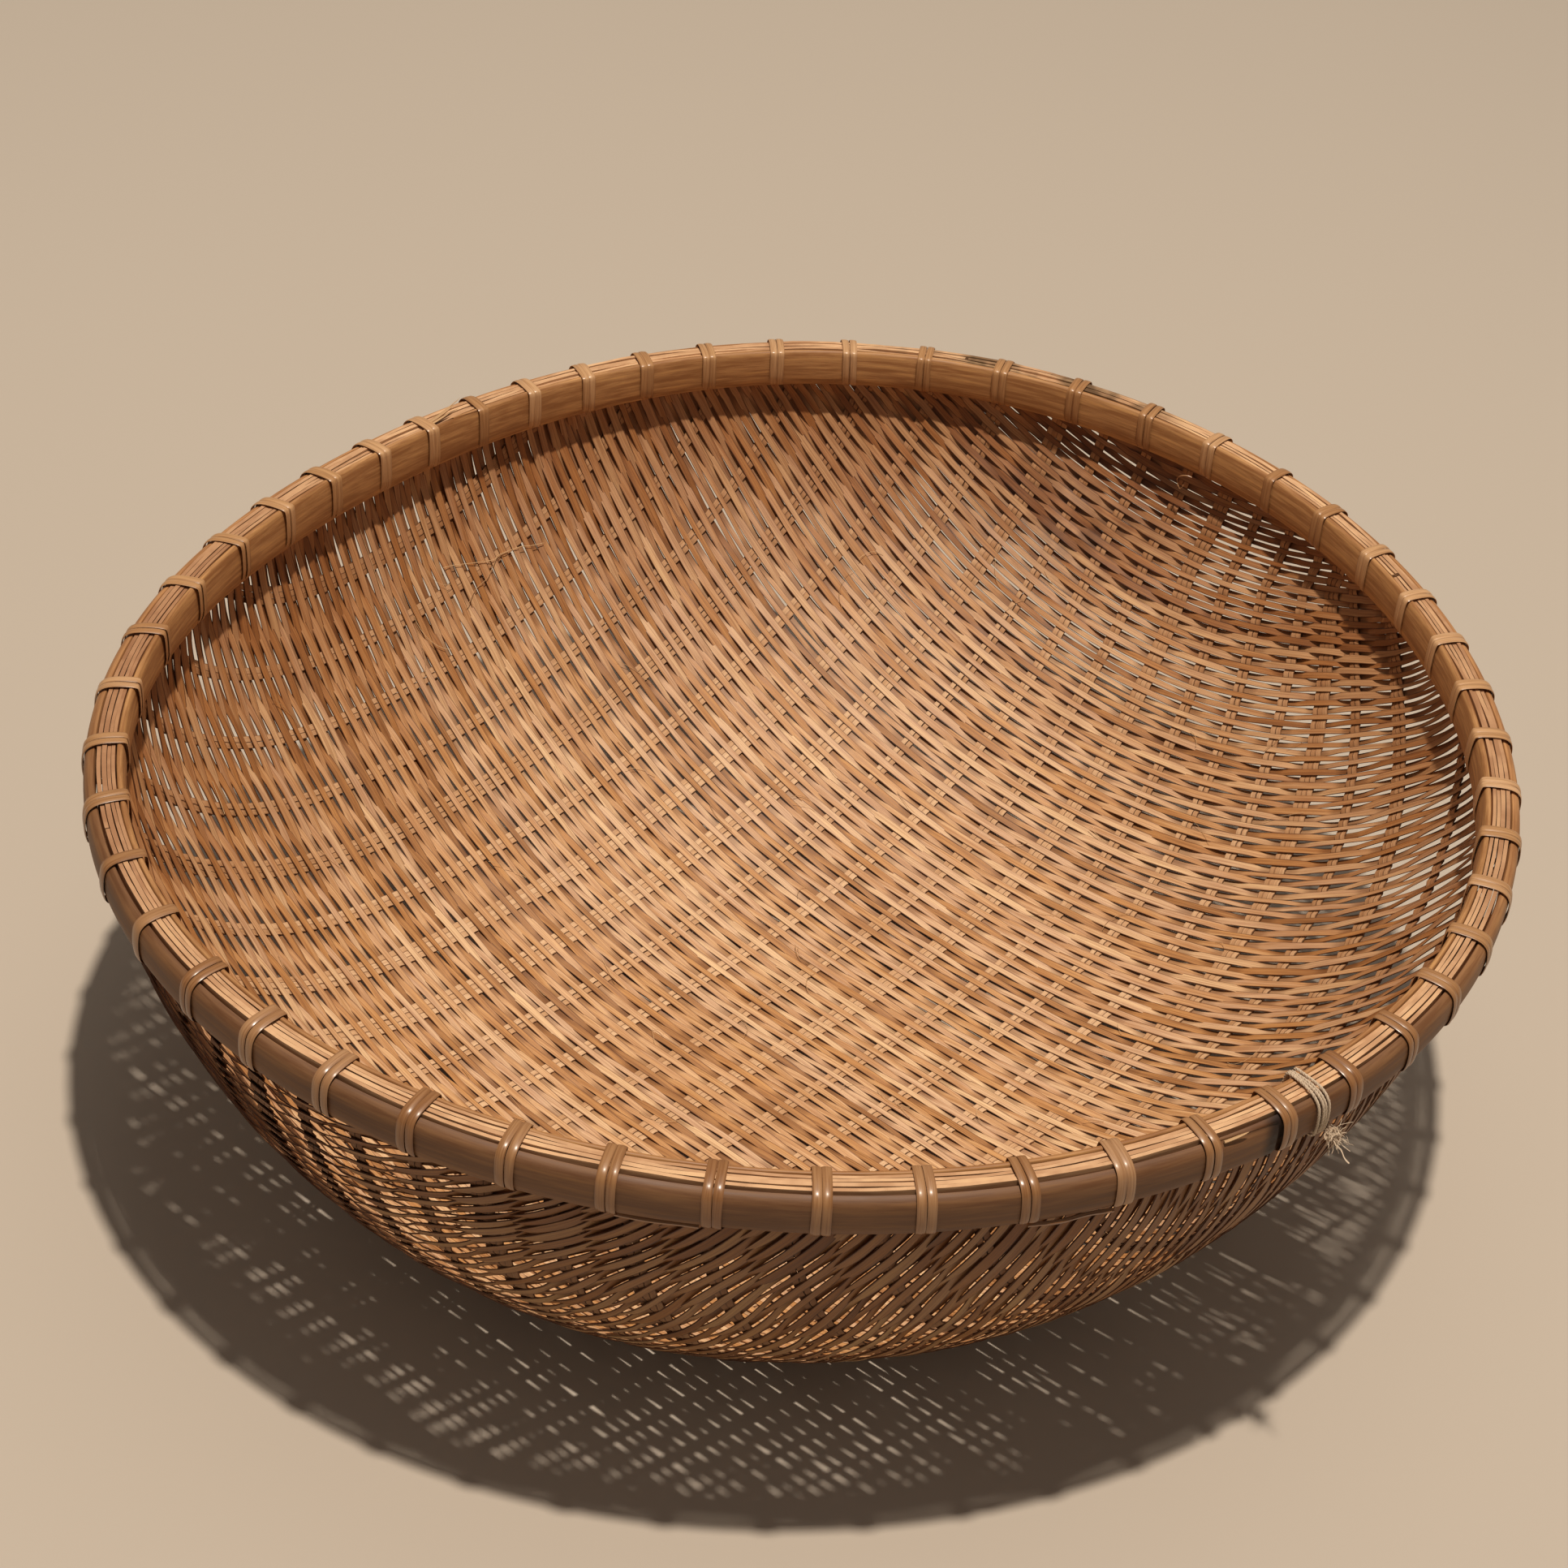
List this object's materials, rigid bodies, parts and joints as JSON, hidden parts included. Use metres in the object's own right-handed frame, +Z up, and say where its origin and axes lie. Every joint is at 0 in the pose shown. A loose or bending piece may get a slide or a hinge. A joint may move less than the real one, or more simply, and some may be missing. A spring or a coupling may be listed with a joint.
{
  "type": "woven basket",
  "caption": "Wide shallow round basket: bowl of plain-woven bamboo strips, rim clamped between two bent hoops and bound all round with cane lashings",
  "frame": {"origin": "on the table, under the middle of the rim's outline", "axes": "+Z up out of the open top, -Y towards the side that the picture is taken from, +X to the right of the picture"},
  "size_m": [0.4987, 0.5098, 0.1609],
  "materials": {
    "weave": "dry split bamboo, woven",
    "bamboo": "smooth bamboo skin",
    "split_bamboo": "dry split bamboo",
    "cane": "glossy cane skin",
    "thread": "matt twisted thread"
  },
  "bodies": {
    "root": {"woven_bowl": "weave", "outer_hoop": "bamboo", "inner_hoop": "bamboo", "outer_edge_strip": "split_bamboo", "inner_edge_strip": "split_bamboo", "cap_strip": "split_bamboo", "cane_lashing_01": "cane", "cane_lashing_02": "cane", "cane_lashing_03": "cane", "cane_lashing_04": "cane", "cane_lashing_05": "cane", "cane_lashing_06": "cane", "cane_lashing_07": "cane", "cane_lashing_08": "cane", "cane_lashing_09": "cane", "cane_lashing_10": "cane", "cane_lashing_11": "cane", "cane_lashing_12": "cane", "cane_lashing_13": "cane", "cane_lashing_14": "cane", "cane_lashing_15": "cane", "cane_lashing_16": "cane", "cane_lashing_17": "cane", "cane_lashing_18": "cane", "cane_lashing_19": "cane", "cane_lashing_20": "cane", "cane_lashing_21": "cane", "cane_lashing_22": "cane", "cane_lashing_23": "cane", "cane_lashing_24": "cane", "cane_lashing_25": "cane", "cane_lashing_26": "cane", "cane_lashing_27": "cane", "cane_lashing_28": "cane", "cane_lashing_29": "cane", "cane_lashing_30": "cane", "cane_lashing_31": "cane", "cane_lashing_32": "cane", "cane_lashing_33": "cane", "cane_lashing_34": "cane", "cane_lashing_35": "cane", "cane_lashing_36": "cane", "cane_lashing_37": "cane", "cane_lashing_38": "cane", "cane_lashing_39": "cane", "cane_lashing_40": "cane", "cane_lashing_41": "cane", "cane_lashing_42": "cane", "cane_lashing_43": "cane", "cane_lashing_44": "cane", "cane_lashing_45": "cane", "cane_lashing_46": "cane", "cane_lashing_47": "cane", "cane_lashing_48": "cane", "cane_lashing_49": "cane", "cane_lashing_50": "cane", "cane_lashing_51": "cane", "twine_tie": "thread"}
  },
  "joints": []
}
